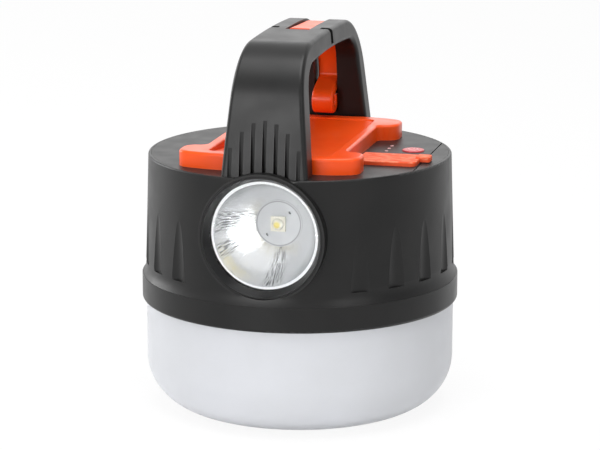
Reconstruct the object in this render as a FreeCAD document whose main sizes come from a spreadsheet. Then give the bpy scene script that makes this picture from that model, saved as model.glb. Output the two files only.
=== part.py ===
import FreeCAD, Part
import Sketcher
import math
import os
import re
from FreeCAD import Placement, Rotation, Vector

# Camping lantern, in millimetres. The origin is the centre of the base on the table, +Z is up, the
# spotlight faces -Y, and the sockets and the button lie towards +X.

SIZES = [
    ("fit_gap", 0.15, "radial gap between two mouldings that fit together"),
    ("running_gap", 0.04, "radial gap of a hinge pin"),
    ("moving_gap", 0.3, "gap beside a piece that moves"),
    ("screw_spare", 0.5, "depth of a screw's hole beyond its end"),
    ("cut_over", 1.0, "how far a cutter runs beyond what it cuts"),
    ("corner_sag", 0.2929, "sag of a quarter round for each unit of its radius"),

    ("diffuser_wall", 2.0, "wall of the dome"),
    ("diffuser_corner", 19.3, "rounding between the dome's wall and its base"),
    ("diffuser_top", 46.0, "height of the dome's upper edge"),
    ("flange_reach", 0.45, "how far the dome's flange stands out"),
    ("flange_height", 2.6, "height of the dome's flange"),
    ("gasket_thickness", 0.8, "flat seal above the flange"),

    ("ring_radius", 60.0, "outside of the collar ring, the widest part"),
    ("ring_reach", 1.6, "how far the ring stands out from the dome"),
    ("ring_below", 4.5, "collar ring below the dome's upper edge"),
    ("ring_above", 5.0, "collar ring above the dome's upper edge"),
    ("ring_round", 1.1, "rounding of the ring's lower edge"),

    ("foot_step", 0.4, "step from the ring in to the drum's foot"),
    ("waist_step", 1.1, "how far the drum draws in above its flared foot"),
    ("body_waist_rise", 6.0, "height of the flared foot"),
    ("body_flare", 0.45, "hollow of the flared foot"),
    ("drum_taper", 1.3, "how far the drum draws in from there to its upper edge"),
    ("body_edge_round", 0.7, "rounding of the drum's upper edge"),
    ("body_wall", 2.6, "wall of the drum at its top"),
    ("body_lip", 1.05, "lip of the drum round the deck"),
    ("floor_rise", 3.0, "underside of the drum's floor above the dome's upper edge"),
    ("floor_thickness", 2.5, "drum's floor"),

    ("flute_count", 10, "flutes on each side"),
    ("flute_first", 36.0, "angle from the front to the first flute"),
    ("flute_pitch", 15.0, "angle from one flute to the next"),
    ("flute_rise", 4.5, "start of the flutes above the ring"),
    ("flute_length", 23.0, "length over which a flute fades out"),
    ("flute_depth", 1.2, "depth of a flute at its lower end"),
    ("flute_radius", 7.0, "hollow of a flute"),

    ("drum_height", 46.2, "drum from the ring to the top face of the deck"),
    ("deck_thickness", 2.0, "deck plate"),
    ("chord_inset", 6.7, "scribed line across the deck, in from the deck's edge"),
    ("groove_width", 0.5, "width and depth of the scribed line"),
    ("screw_radius", 1.25, "shank of every screw"),
    ("screw_head_radius", 2.4, "head of every screw"),
    ("screw_head_height", 1.4, "height of a screw's head"),
    ("deck_post_ear", 2.7, "deck screws along X, in from the end of the tray's ear"),
    ("deck_post_inset", 21.0, "deck screws along Y, in from the deck's edge"),
    ("deck_post_radius", 3.5, "posts in the drum for the deck screws"),
    ("deck_screw_length", 11.0, "shank of a deck screw"),

    ("spot_drop", 21.2, "axis of the spotlight below the deck"),
    ("snout_radius", 23.5, "outside of the spotlight's snout"),
    ("snout_setback", 2.0, "front face of the snout, in from the ring"),
    ("snout_length", 8.5, "snout's tube"),
    ("snout_brow", 3.8, "depth of the brow that stands above the deck"),
    ("bezel_radius", 22.45, "outside of the bezel"),
    ("bezel_depth", 3.7, "length of the bezel"),
    ("bezel_mouth", 21.9, "bezel's opening at the front"),
    ("lens_radius", 21.0, "clear lens"),
    ("lens_thickness", 1.2, "clear lens"),
    ("reflector_rim", 19.0, "mouth of the reflector"),
    ("rim_show", 1.15, "width of the reflector's bright rim inside the bezel"),
    ("reflector_flange", 1.0, "thickness of the reflector's flange"),
    ("reflector_wall", 0.9, "wall of the reflector"),
    ("reflector_depth", 20.8, "depth of the reflector"),
    ("reflector_hole", 8.75, "opening at the bottom of the reflector"),
    ("reflector_bulge", 1.6, "how far the reflector bows out from a cone"),
    ("cup_notch", 5.2, "deck's notch behind the reflector's flange"),
    ("star_radius", 10.2, "spotlight's board"),
    ("star_thickness", 1.6, "spotlight's board"),
    ("star_hole_radius", 0.55, "solder holes in the spotlight's board"),
    ("star_hole_reach", 4.3, "solder holes, from the centre along X and Z"),
    ("spot_chip_width", 5.5, "spotlight's chip"),
    ("spot_chip_height", 1.2, "spotlight's chip"),
    ("spot_dome_radius", 2.2, "dome of the spotlight's chip"),
    ("sink_radius", 13.0, "heat sink"),
    ("sink_plate", 2.5, "plate of the heat sink"),
    ("sink_fin_depth", 6.0, "fins of the heat sink"),
    ("sink_fin_thickness", 1.4, "fins of the heat sink"),
    ("sink_fin_pitch", 4.4, "fins of the heat sink"),

    ("handle_setback", 6.0, "outside of a leg at the deck, in from the ring"),
    ("handle_leg_depth", 9.1, "leg at the deck, along Y"),
    ("handle_lean", 0.17, "inward lean of the legs for each unit of height"),
    ("handle_rise", 45.1, "outer shoulder above the deck"),
    ("handle_crown", 1.7, "rise of the top bar above the shoulder"),
    ("handle_bar", 7.4, "thickness of the top bar"),
    ("handle_front_round", 22.0, "outer shoulder of the front leg"),
    ("handle_rear_round", 25.0, "outer shoulder of the rear leg"),
    ("leg_bow", 0.8, "bow of the front leg's outside"),
    ("handle_inner_round", 11.0, "inner shoulder"),
    ("handle_foot_half", 16.2, "half width of a leg at the deck"),
    ("handle_top_half", 12.0, "half width of the handle at its top"),
    ("handle_edge_round", 1.7, "rounding of the handle's long edges"),
    ("rib_count", 7, "grooves in the front leg"),
    ("rib_pitch", 4.25, "from one groove to the next"),
    ("rib_groove", 1.5, "width of a groove"),
    ("rib_depth", 2.7, "depth of the middle groove"),
    ("rib_arch", 108.0, "arch of the grooves' upper ends"),
    ("handle_screw_across", 12.0, "handle screws, from the centre along X"),
    ("handle_screw_inset", 7.0, "handle screws, in from the outside of a leg"),
    ("handle_screw_length", 10.0, "shank of a handle screw"),

    ("slot_half", 4.6, "half width of the hook's slot"),
    ("slot_front", 4.2, "front end of the slot, from the pin"),
    ("slot_clear", 1.2, "slot's floor below the path of the strip's bend"),
    ("pin_radius", 1.5, "hook's pin"),
    ("pin_half", 10.5, "half length of the pin"),
    ("pin_drop", 3.9, "pin's axis below the top of the handle"),
    ("notch_inside", 8.0, "inner end of a pin notch, from the centre"),
    ("notch_width", 3.4, "width of a pin notch"),
    ("notch_below", 1.7, "bottom of a pin notch below the pin's axis"),
    ("hook_half", 4.2, "half width of the hook's strip"),
    ("hook_thickness", 3.2, "hook's strip"),
    ("hook_edge_round", 0.8, "rounding of the strip's edges"),
    ("hook_sink", 0.3, "how far the strip lies below the handle's outside"),
    ("hook_boss_radius", 3.0, "eye of the hook round the pin"),
    ("hook_bend", 25.0, "where the strip leaves the leg, below the shoulder"),
    ("curl_reach", 12.4, "how far the curl stands in from the leg"),
    ("curl_drop", 5.4, "fall of the strip to the curl"),
    ("curl_height", 5.6, "height of the curl"),
    ("curl_width", 6.0, "width of the curl"),
    ("curl_tip", 5.4, "height of the curl's tip"),
    ("curl_lean", 1.0, "how far the curl's front leans outward"),
    ("curl_round", 3.0, "bends of the curl"),

    ("tray_half", 24.2, "half width of the tray"),
    ("tray_wider", 5.0, "extra width of the tray on the side away from the rubber cover"),
    ("tray_gap", 1.9, "gap between the tray and a leg"),
    ("tray_height", 6.0, "height of the tray above the deck"),
    ("ear_length", 16.0, "ears of the tray, along Y"),
    ("ear_reach", 7.5, "ears of the tray, beyond its side"),
    ("ear_fall", 4.0, "how far an ear's end curves back from the tray's end"),
    ("ear_round", 5.0, "outer corners of an ear"),
    ("ear_root_round", 3.0, "hollow between an ear and the tray's side"),
    ("tray_rim", 4.0, "width of the tray's side rims"),
    ("dish_inset", 6.0, "tray's dish, in from the tray's end"),
    ("dish_depth", 3.5, "depth of the dish in the middle"),
    ("dish_sag", 3.0, "hollow of the dish"),
    ("dish_round", 2.0, "corners of the dish"),
    ("tray_edge_round", 1.0, "rounding of the tray's edges"),
    ("peg_radius", 2.0, "pegs of the tray in the deck"),
    ("peg_inset_x", 4.2, "pegs, in from the tray's side"),
    ("peg_inset_y", 3.5, "pegs, in from the tray's end"),

    ("cover_setback", 2.3, "hinge line of the rubber cover, out from the tray's side"),
    ("cover_inset", 7.5, "free end of the cover, in from the deck's edge"),
    ("cover_front", -20.5, "front edge of the cover"),
    ("cover_back", -4.5, "rear edge of the cover"),
    ("cover_thickness", 1.6, "rubber cover"),
    ("cover_corner", 2.5, "corners of the cover"),
    ("cover_edge_round", 0.5, "rounding of the cover's edges"),
    ("cover_lip", 0.9, "plug of the cover in the deck's recess"),
    ("cover_lip_inset", 1.8, "plug of the cover, in from its edges"),
    ("tab_length", 3.8, "pull tab beyond the cover"),
    ("tab_root", 1.5, "overlap of the tab and the cover"),
    ("tab_half", 3.0, "half width of the pull tab"),
    ("tab_setback", 2.0, "pull tab, in from the cover's rear edge"),
    ("tab_rise", 0.3, "underside of the tab above the deck"),
    ("tab_thickness", 1.9, "pull tab"),
    ("tab_corner", 1.2, "corners of the pull tab"),
    ("root_width", 1.1, "trapped end of the cover"),
    ("root_half", 4.3, "half length of the trapped end"),
    ("root_barb", 0.8, "barb of the trapped end under the deck"),
    ("recess_depth", 1.2, "recess in the deck round the sockets"),

    ("board_thickness", 1.6, "main board"),
    ("board_drop", 12.2, "underside of the main board below the deck"),
    ("board_lap", 2.5, "inner end of the main board, in from the cover's hinge"),
    ("board_inset", 6.5, "outer end of the main board, in from the deck's edge"),
    ("board_half", 22.0, "half length of the main board"),
    ("board_post_radius", 2.4, "posts under the deck"),
    ("board_post_inset_x", 2.9, "posts, in from the board's ends"),
    ("board_post_inset_y", 2.5, "posts, in from the board's sides"),
    ("board_screw_length", 6.5, "shank of a board screw"),
    ("usb_along", -15.2, "middle of the wide socket along Y"),
    ("socket_shift", 0.8, "sockets, from the middle of the cover towards its hinge"),
    ("usb_length", 14.5, "wide socket's shell"),
    ("usb_width", 7.0, "wide socket's shell"),
    ("usb_wall", 1.0, "wide socket's shell"),
    ("usb_tongue", 1.8, "tongue of the wide socket"),
    ("charge_along", -8.0, "middle of the narrow socket along Y"),
    ("charge_length", 9.0, "narrow socket's shell"),
    ("charge_width", 3.6, "narrow socket's shell"),
    ("charge_wall", 0.5, "narrow socket's shell"),
    ("charge_tongue", 0.7, "tongue of the narrow socket"),
    ("socket_back", 2.0, "closed back of a socket"),

    ("button_inset", 14.4, "button's axis, in from the deck's edge"),
    ("button_y", 9.8, "button's axis, from the centre along Y"),
    ("button_radius", 4.2, "button's cap"),
    ("button_proud", 0.5, "button above the deck"),
    ("button_round", 0.4, "rounding of the button's cap"),
    ("button_collar", 4.9, "collar of the button under the deck"),
    ("button_collar_height", 1.0, "collar of the button under the deck"),
    ("button_stem_radius", 1.5, "stem of the button"),
    ("button_travel", 0.6, "travel of the button"),
    ("switch_width", 6.0, "switch on the main board"),
    ("switch_height", 3.5, "case of the switch"),
    ("switch_plunger", 1.7, "plunger of the switch"),
    ("switch_plunger_height", 1.2, "plunger of the switch"),
    ("light_count", 3, "level lights"),
    ("light_pitch", 5.0, "from one level light to the next"),
    ("light_inset", 24.0, "level lights, in from the deck's edge"),
    ("light_y", 6.5, "first level light, from the centre along Y"),
    ("light_radius", 0.65, "window of a level light"),
    ("light_bar", 2.2, "bar that joins the light guides"),
    ("light_chip_height", 0.7, "level light on the main board"),

    ("cell_radius", 9.15, "battery cell"),
    ("cell_length", 65.0, "battery cell"),
    ("cell_pitch", 20.0, "from one cell to the other"),
    ("cell_setback", 24.5, "middle of the two cells, in from the rear deck screws"),
    ("cradle_base", 1.4, "bottom of the battery cradle"),
    ("cradle_height", 8.5, "battery cradle"),
    ("cradle_rim", 1.4, "rim of the cradle beyond the cells"),
    ("tab_plate", 0.3, "nickel tabs on the cells"),
    ("tab_plate_height", 8.0, "nickel tabs on the cells"),
    ("lead_radius", 0.8, "insulated leads"),
    ("lamp_lead_inset", 5.0, "lamp leads, in from the board's outer end"),
    ("lamp_lead_along", 8.0, "lamp leads, in from the board's rear side"),

    ("lamp_gap", 4.6, "gap between the lamp board and the drum's inside"),
    ("lamp_thickness", 1.6, "lamp board"),
    ("chip_rings", 2, "rings of lamp chips"),
    ("chip_count", 12, "lamp chips in the inner ring"),
    ("chip_ring", 18.0, "radius of the inner ring of chips"),
    ("chip_width", 3.5, "lamp chip"),
    ("chip_height", 0.8, "lamp chip"),
    ("lamp_screw_inset", 6.0, "screws of the lamp board, in from its edge"),
    ("lamp_screw_length", 3.6, "shank of a lamp board screw"),
]

# Places and sizes that follow from the ones above.
PLACES = {
    "diffuser_radius": "ring_radius - ring_reach",
    "ring_bottom": "diffuser_top - ring_below",
    "ring_top": "diffuser_top + ring_above",
    "body_foot_radius": "ring_radius - foot_step",
    "body_waist_radius": "body_foot_radius - waist_step",
    "body_top_radius": "body_waist_radius - drum_taper",
    "floor_bottom": "diffuser_top + floor_rise",
    "deck_top": "ring_top + drum_height",
    "chord_groove": "deck_radius - chord_inset",
    "deck_post_across": "ear_end - deck_post_ear",
    "deck_post_along": "deck_radius - deck_post_inset",
    "snout_height": "deck_top - spot_drop",
    "snout_front": "ring_radius - snout_setback",
    "snout_back": "snout_front - snout_length",
    "flange_radius": "diffuser_radius + flange_reach",
    "flange_under": "diffuser_top - flange_height",
    "ring_bore": "flange_radius + fit_gap",
    "spigot_radius": "ring_bore - fit_gap",
    "spigot_bottom": "diffuser_top + gasket_thickness",
    "body_inside": "body_top_radius - body_wall",
    "body_waist": "ring_top + body_waist_rise",
    "rebate_radius": "body_top_radius - body_lip",
    "floor_top": "floor_bottom + floor_thickness",
    "deck_under": "deck_top - deck_thickness",
    "deck_radius": "rebate_radius - fit_gap",
    "flute_bottom": "ring_top + flute_rise",
    "screw_hole": "screw_radius + fit_gap",
    "head_hole": "screw_head_radius + fit_gap",
    "bezel_seat": "bezel_depth - snout_front",
    "bezel_throat": "reflector_rim + rim_show",
    "lens_back": "bezel_seat + lens_thickness",
    "reflector_front": "lens_back + fit_gap",
    "reflector_seat": "reflector_front + reflector_flange",
    "cup_bore": "(lens_radius + reflector_rim) / 2",
    "star_front": "reflector_front + reflector_depth",
    "star_back": "star_front + star_thickness",
    "sink_back": "star_back + sink_plate",
    "brow_back": "snout_brow - snout_front",
    "handle_foot_outer": "ring_radius - handle_setback",
    "handle_shoulder": "deck_top + handle_rise",
    "handle_screw_along": "handle_foot_outer - handle_screw_inset",
    "rib_floor": "handle_foot_outer - rib_depth",
    "handle_foot_inner": "handle_foot_outer - handle_leg_depth",
    "handle_top": "handle_shoulder + handle_crown",
    "shoulder_y": "handle_foot_outer - handle_lean * (handle_shoulder - deck_top)",
    "inner_shoulder": "handle_shoulder - handle_bar",
    "inner_y": "handle_foot_inner - handle_lean * (inner_shoulder - deck_top)",
    "handle_taper": "(handle_foot_half - handle_top_half) / (handle_top - deck_top)",
    "pin_height": "handle_top - pin_drop",
    "hook_depth": "hook_sink + hook_thickness / 2",
    "hook_line": "handle_top - hook_depth",
    "leg_line": "handle_foot_outer - hook_depth * sqrt(1 + handle_lean^2)",
    "bend_height": "handle_shoulder - hook_bend",
    "bend_outer": "handle_foot_outer - hook_sink - handle_lean * (bend_height - deck_top)",
    "slot_sweep": "sqrt(bend_outer^2 + (pin_height - bend_height)^2) + slot_clear",
    "tray_along": "handle_foot_inner - tray_gap",
    "ear_end": "tray_half + ear_reach",
    "ear_start": "tray_along - ear_length",
    "ear_tip": "tray_along - ear_fall",
    "tray_left": "tray_half + tray_wider",
    "ear_left": "ear_end + tray_wider",
    "right_span": "ear_end - handle_foot_half",
    "left_span": "ear_left - handle_foot_half",
    "right_chord": "sqrt(right_span^2 + ear_fall^2)",
    "left_chord": "sqrt(left_span^2 + ear_fall^2)",
    "right_bow": "right_chord * (right_chord - right_span) / (2 * ear_fall)",
    "left_bow": "left_chord * (left_chord - left_span) / (2 * ear_fall)",
    "dish_along": "tray_along - dish_inset",
    "peg_across": "tray_half - peg_inset_x",
    "peg_along": "tray_along - peg_inset_y",
    "cover_hinge": "tray_half + cover_setback",
    "cover_end": "deck_radius - cover_inset",
    "tab_back": "cover_back - tab_setback",
    "socket_centre": "(cover_hinge + cover_end) / 2 - socket_shift",
    "button_x": "deck_radius - button_inset",
    "light_x": "deck_radius - light_inset",
    "cover_middle": "(cover_front + cover_back) / 2",
    "board_height": "deck_top - board_drop",
    "board_inside": "cover_hinge - board_lap",
    "board_outside": "deck_radius - board_inset",
    "lamp_lead_x": "board_outside - lamp_lead_inset",
    "lamp_lead_y": "board_half - lamp_lead_along",
    "board_top": "board_height + board_thickness",
    "collar_top": "deck_under - moving_gap",
    "stem_bottom": "board_top + switch_height + switch_plunger_height + button_travel + fit_gap",
    "cell_middle": "deck_post_along - cell_setback",
    "cell_height": "floor_top + cradle_base + cell_radius + fit_gap",
    "cradle_along": "cell_pitch / 2 + cell_radius + cradle_rim",
    "cradle_half": "cell_length / 2",
    "lamp_radius": "body_inside - lamp_gap",
    "lamp_screw_ring": "lamp_radius - lamp_screw_inset",
    "lamp_under": "floor_bottom - lamp_thickness",
    "lead_x": "cell_length / 2 + tab_plate + lead_radius",
}

doc = FreeCAD.newDocument("camping_lantern")
dims = doc.addObject("Spreadsheet::Sheet", "dims")
for row, (alias, size, meaning) in enumerate(SIZES, start=1):
    dims.set("A%d" % row, meaning)
    dims.set("B%d" % row, str(size))
    dims.setAlias("B%d" % row, alias)
doc.recompute()

ALIASES = {alias for alias, size, meaning in SIZES}
nodes = []


def formula(text):
    """A formula in full: a place is worked out from sizes, and a size is a cell of the sheet."""
    def spelled(match):
        name = match.group(0)
        if name in PLACES:
            return "(" + formula(PLACES[name]) + ")"
        return "dims." + name if name in ALIASES else name
    return re.sub(r"[a-z][a-z_0-9]*", spelled, str(text))


def value(text):
    return float(dims.evalExpression(formula(text)))


def whole(text):
    return int(round(value(text)))


def bind(thing, path, text):
    thing.setExpression(path, formula(text))


def node(thing, label):
    """One sub-part of the lantern, which gets a file of its own."""
    thing.Label = label
    nodes.append(thing)
    return thing


# Sketches and features

def new_body(label, height=None):
    body = node(doc.addObject("PartDesign::Body", label), label)
    if height is not None:
        bind(body, "Placement.Base.z", height)
    return body


def pin_down(drawing, geometry, end, x, y):
    """Hold one point of a sketch at a place given by two formulas."""
    for kind, text in (("DistanceX", x), ("DistanceY", y)):
        held = drawing.addConstraint(Sketcher.Constraint(kind, -1, 1, geometry, end, value(text)))
        drawing.setExpression("Constraints[%d]" % held, formula(text))


def draw_circle(drawing, x, y, radius):
    centre = Vector(value(x), value(y), 0)
    ring = drawing.addGeometry(Part.Circle(centre, Vector(0, 0, 1), value(radius)))
    pin_down(drawing, ring, 3, x, y)
    held = drawing.addConstraint(Sketcher.Constraint("Radius", ring, value(radius)))
    drawing.setExpression("Constraints[%d]" % held, formula(radius))


def draw_outline(drawing, outline):
    """A closed outline. A corner is (x, y), or (x, y, sag) where an arc that bows left by sag follows."""
    corners = [Vector(value(corner[0]), value(corner[1]), 0) for corner in outline]
    count = len(outline)
    ends = []
    for place, corner in enumerate(outline):
        start, end = corners[place], corners[(place + 1) % count]
        if len(corner) == 2:
            run = drawing.addGeometry(Part.LineSegment(start, end))
            ends.append((run, 1, 2))
            continue
        along = (end - start).normalize()
        middle = (start + end) * 0.5 + Vector(-along.y, along.x, 0) * value(corner[2])
        run = drawing.addGeometry(Part.Arc(start, middle, end))
        turned_round = drawing.getPoint(run, 1).distanceToPoint(start) > 1e-6
        ends.append((run, 2, 1) if turned_round else (run, 1, 2))
    for place, (run, first, last) in enumerate(ends):
        following = ends[(place + 1) % count]
        drawing.addConstraint(Sketcher.Constraint("Coincident", run, last, following[0], following[1]))
        pin_down(drawing, run, first, outline[place][0], outline[place][1])
    for place, corner in enumerate(outline):
        if len(corner) == 3:
            other = outline[(place + 1) % count]
            chord = "((%s) - (%s))^2 + ((%s) - (%s))^2" % (other[0], corner[0], other[1], corner[1])
            radius = "(%s) / (8 * abs(%s)) + abs(%s) / 2" % (chord, corner[2], corner[2])
            held = drawing.addConstraint(Sketcher.Constraint("Radius", ends[place][0], value(radius)))
            drawing.setExpression("Constraints[%d]" % held, formula(radius))


def rectangle(x0, y0, x1, y1):
    return [(x0, y0), (x1, y0), (x1, y1), (x0, y1)]


def sketch(body, plane, name, outlines=(), circles=(), lift=None):
    """Outlines and circles on one of the body's own planes, lifted off it where a height is given."""
    drawing = body.newObject("Sketcher::SketchObject", name)
    support = next(face for face in body.Origin.OriginFeatures if face.Role == plane)
    drawing.AttachmentSupport = (support, [""])
    drawing.MapMode = "FlatFace"
    if lift is not None:
        bind(drawing, "AttachmentOffset.Base.z", lift)
    for outline in outlines:
        draw_outline(drawing, outline)
    for circle in circles:
        draw_circle(drawing, *circle)
    doc.recompute()
    return drawing


def raised(body, drawing, length, both=False, reverse=False):
    step = body.newObject("PartDesign::Pad", drawing.Name + "_pad")
    step.Profile = drawing
    bind(step, "Length", length)
    step.SideType = "Symmetric" if both else "One side"
    step.Reversed = reverse
    doc.recompute()
    return step


def sunk(body, drawing, length=None, both=False, reverse=False):
    """A pocket, right through where no length is given. It has to take material away."""
    before = body.Shape.Volume
    step = body.newObject("PartDesign::Pocket", drawing.Name + "_pocket")
    step.Profile = drawing
    if length is None:
        step.Type = "ThroughAll"
    else:
        bind(step, "Length", length)
    step.SideType = "Symmetric" if both else "One side"
    step.Reversed = reverse
    doc.recompute()
    if body.Shape.Volume >= before:
        raise RuntimeError(step.Name + " cuts nothing")
    return step


def turned(body, drawing, axis):
    step = body.newObject("PartDesign::Revolution", drawing.Name + "_turned")
    step.Profile = drawing
    step.ReferenceAxis = (drawing, [axis])
    doc.recompute()
    return step


def rounded(body, name, radius, chosen):
    """Round each edge of the body that chosen picks."""
    base = body.Tip
    edges = ["Edge%d" % number for number, edge in enumerate(base.Shape.Edges, start=1) if chosen(edge)]
    if not edges:
        raise RuntimeError(name + " finds no edge")
    step = body.newObject("PartDesign::Fillet", name)
    step.Base = (base, edges)
    bind(step, "Radius", radius)
    doc.recompute()
    return step


def near(number, text):
    return abs(number - value(text)) < 1e-4


def upright(edge):
    box = edge.BoundBox
    return box.XLength < 1e-4 and box.YLength < 1e-4


def level(edge, text):
    """True for an edge that lies flat at a height."""
    return near(edge.BoundBox.ZMin, text) and near(edge.BoundBox.ZMax, text)


# Solids and how they are joined

AXES = {"x": Rotation(Vector(0, 1, 0), 90), "y": Rotation(Vector(1, 0, 0), -90), "z": Rotation()}


def move_to(thing, x, y, z):
    for path, text in (("x", x), ("y", y), ("z", z)):
        bind(thing, "Placement.Base." + path, text)
    return thing


def block(name, low, high):
    solid = doc.addObject("Part::Box", name)
    for size, start, end in zip(("Length", "Width", "Height"), low, high):
        bind(solid, size, "(%s) - (%s)" % (end, start))
    return move_to(solid, *low)


def rod(name, foot, radius, length, axis="z"):
    solid = doc.addObject("Part::Cylinder", name)
    solid.Placement = Placement(Vector(), AXES[axis])
    bind(solid, "Radius", radius)
    bind(solid, "Height", length)
    return move_to(solid, *foot)


def joined(name, solids):
    result = doc.addObject("Part::MultiFuse", name)
    result.Shapes = list(solids)
    result.Refine = True
    return result


def less(name, base, tools):
    result = doc.addObject("Part::Cut", name)
    result.Base = base
    result.Tool = tools[0] if len(tools) == 1 else joined(name + "_tools", tools)
    result.Refine = True
    return result


def group(name, solids):
    result = doc.addObject("Part::Compound", name)
    result.Links = list(solids)
    return node(result, name)


def screw(name, x, y, seat, length, upward):
    """A screw whose head bears on a face at the seat's height, with its shank up or down from there."""
    head_foot = "(%s) - screw_head_height" % seat if upward else seat
    shank_foot = seat if upward else "(%s) - (%s)" % (seat, length)
    head = rod(name + "_head", (x, y, head_foot), "screw_head_radius", "screw_head_height")
    shank = rod(name + "_shank", (x, y, shank_foot), "screw_radius", length)
    return joined(name, [head, shank])


CORNERS = [(side, end) for side in (-1, 1) for end in (-1, 1)]


def corners(x, y):
    """The four places that mirror one place about the lantern's middle."""
    return [("%d * (%s)" % (side, x), "%d * (%s)" % (end, y)) for side, end in CORNERS]


# Opal dome, flange and seal

diffuser = new_body("diffuser")
dome = sketch(diffuser, "XZ_Plane", "dome_outline", [[
    ("0", "0"), ("diffuser_radius", "0"), ("diffuser_radius", "flange_under"),
    ("flange_radius", "flange_under"), ("flange_radius", "diffuser_top"),
    ("diffuser_radius - diffuser_wall", "diffuser_top"), ("diffuser_radius - diffuser_wall", "diffuser_wall"),
    ("0", "diffuser_wall")]])
turned(diffuser, dome, "V_Axis")
rounded(diffuser, "dome_corner", "diffuser_corner",
        lambda edge: level(edge, "0") and edge.Length > 1)
rounded(diffuser, "dome_inner_corner", "diffuser_corner - diffuser_wall",
        lambda edge: level(edge, "diffuser_wall")
        and near(edge.BoundBox.XMax, "diffuser_radius - diffuser_wall"))

diffuser_gasket = new_body("diffuser_gasket")
turned(diffuser_gasket, sketch(diffuser_gasket, "XZ_Plane", "gasket_outline", [rectangle(
    "diffuser_radius - diffuser_wall", "diffuser_top", "flange_radius", "spigot_bottom")]), "V_Axis")

collar_ring = new_body("collar_ring")
turned(collar_ring, sketch(collar_ring, "XZ_Plane", "ring_outline", [[
    ("diffuser_radius + fit_gap", "ring_bottom"), ("ring_radius", "ring_bottom"), ("ring_radius", "ring_top"),
    ("ring_bore", "ring_top"), ("ring_bore", "flange_under"),
    ("diffuser_radius + fit_gap", "flange_under")]]), "V_Axis")
rounded(collar_ring, "ring_lower_edge", "ring_round",
        lambda edge: level(edge, "ring_bottom") and near(edge.BoundBox.XMax, "ring_radius"))

# Drum with its floor, posts, snout and flutes

drum = doc.addObject("PartDesign::Body", "drum")
turned(drum, sketch(drum, "XZ_Plane", "drum_outline", [[
    ("0", "floor_bottom"), ("body_inside", "floor_bottom"), ("body_inside", "spigot_bottom"),
    ("spigot_radius", "spigot_bottom"), ("spigot_radius", "ring_top"),
    ("body_foot_radius", "ring_top", "body_flare"), ("body_waist_radius", "body_waist"),
    ("body_top_radius", "deck_top"), ("rebate_radius", "deck_top"), ("rebate_radius", "deck_under"),
    ("body_inside", "deck_under"), ("body_inside", "floor_top"), ("0", "floor_top")]]), "V_Axis")
rounded(drum, "drum_upper_edge", "body_edge_round",
        lambda edge: level(edge, "deck_top") and near(edge.BoundBox.XMax, "body_top_radius"))


def flute(name, angle):
    """A round cutter that leans, so that the flute is deepest at its lower end and fades out upwards."""
    outward = Vector(math.sin(math.radians(angle)), -math.cos(math.radians(angle)), 0)
    fade = "(body_waist_radius - body_top_radius) / (deck_top - body_waist)"
    far = "body_waist_radius - %s * (flute_bottom + flute_length - body_waist)" % fade
    foot = outward * value("body_waist_radius - flute_depth + flute_radius")
    head = outward * value("%s + flute_radius" % far)
    foot.z = value("flute_bottom")
    head.z = value("flute_bottom + flute_length")
    cutter = doc.addObject("Part::Cylinder", name)
    bind(cutter, "Radius", "flute_radius")
    bind(cutter, "Height", "flute_length + flute_depth")
    cutter.Placement = Placement(foot, Rotation(Vector(0, 0, 1), head - foot))
    return cutter


flutes = []
for number in range(whole("flute_count")):
    for side in (-1, 1):
        angle = side * value("flute_first + %d * flute_pitch" % number)
        flutes.append(flute("flute_%d_%s" % (number, "right" if side > 0 else "left"), angle))

snout = rod("snout", ("0", "-snout_front", "snout_height"), "snout_radius", "snout_front - snout_back", "y")
above_deck = block("above_deck", ("-snout_radius", "brow_back", "deck_under"),
                   ("snout_radius", "0", "snout_height + 2 * snout_radius"))
posts = [rod("deck_post_%d" % number, (x, y, "floor_bottom"), "deck_post_radius", "deck_under - floor_bottom")
         for number, (x, y) in enumerate(corners("deck_post_across", "deck_post_along"))]
post_holes = [rod("post_hole_%d" % number, (x, y, "deck_top - screw_head_height - deck_screw_length - 1"),
                  "screw_hole", "deck_screw_length + 2 * cut_over")
              for number, (x, y) in enumerate(corners("deck_post_across", "deck_post_along"))]


def lamp_screw_places():
    return [("lamp_screw_ring * cos(%d)" % angle, "lamp_screw_ring * sin(%d)" % angle)
            for angle in (0, 90, 180, 270)]


floor_holes = [rod("floor_hole_%d" % number, (x, y, "floor_bottom - cut_over"), "screw_hole",
                   "lamp_screw_length - lamp_thickness + fit_gap + cut_over")
               for number, (x, y) in enumerate(lamp_screw_places())]
lead_hole = rod("lead_hole", ("lamp_lead_x", "lamp_lead_y", "floor_bottom - cut_over"),
                "2 * lead_radius + 4 * fit_gap", "floor_thickness + 2 * cut_over")
bores = [
    rod("bezel_bore", ("0", "-snout_front - cut_over", "snout_height"), "bezel_radius + fit_gap",
        "bezel_depth + cut_over", "y"),
    rod("lens_bore", ("0", "bezel_seat", "snout_height"), "lens_radius + fit_gap",
        "reflector_seat - bezel_seat", "y"),
    rod("cup_bore", ("0", "reflector_seat", "snout_height"), "cup_bore", "reflector_depth", "y")]
solid_drum = joined("solid_drum", [drum, less("snout_trimmed", snout, [above_deck])] + posts)
body_shell = node(less("body_shell", solid_drum, bores + flutes + post_holes + floor_holes + [lead_hole]),
                  "body_shell")

# Spotlight, all turned about its own axis

def spot_body(label):
    return new_body(label, "snout_height")


spot_bezel = spot_body("spot_bezel")
turned(spot_bezel, sketch(spot_bezel, "YZ_Plane", "bezel_outline", [[
    ("-snout_front", "bezel_mouth"), ("bezel_seat", "bezel_throat"), ("bezel_seat", "bezel_radius"),
    ("-snout_front", "bezel_radius")]]), "H_Axis")

spot_lens = spot_body("spot_lens")
turned(spot_lens, sketch(spot_lens, "YZ_Plane", "lens_outline", [rectangle(
    "bezel_seat", "0", "lens_back", "lens_radius")]), "H_Axis")

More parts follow.
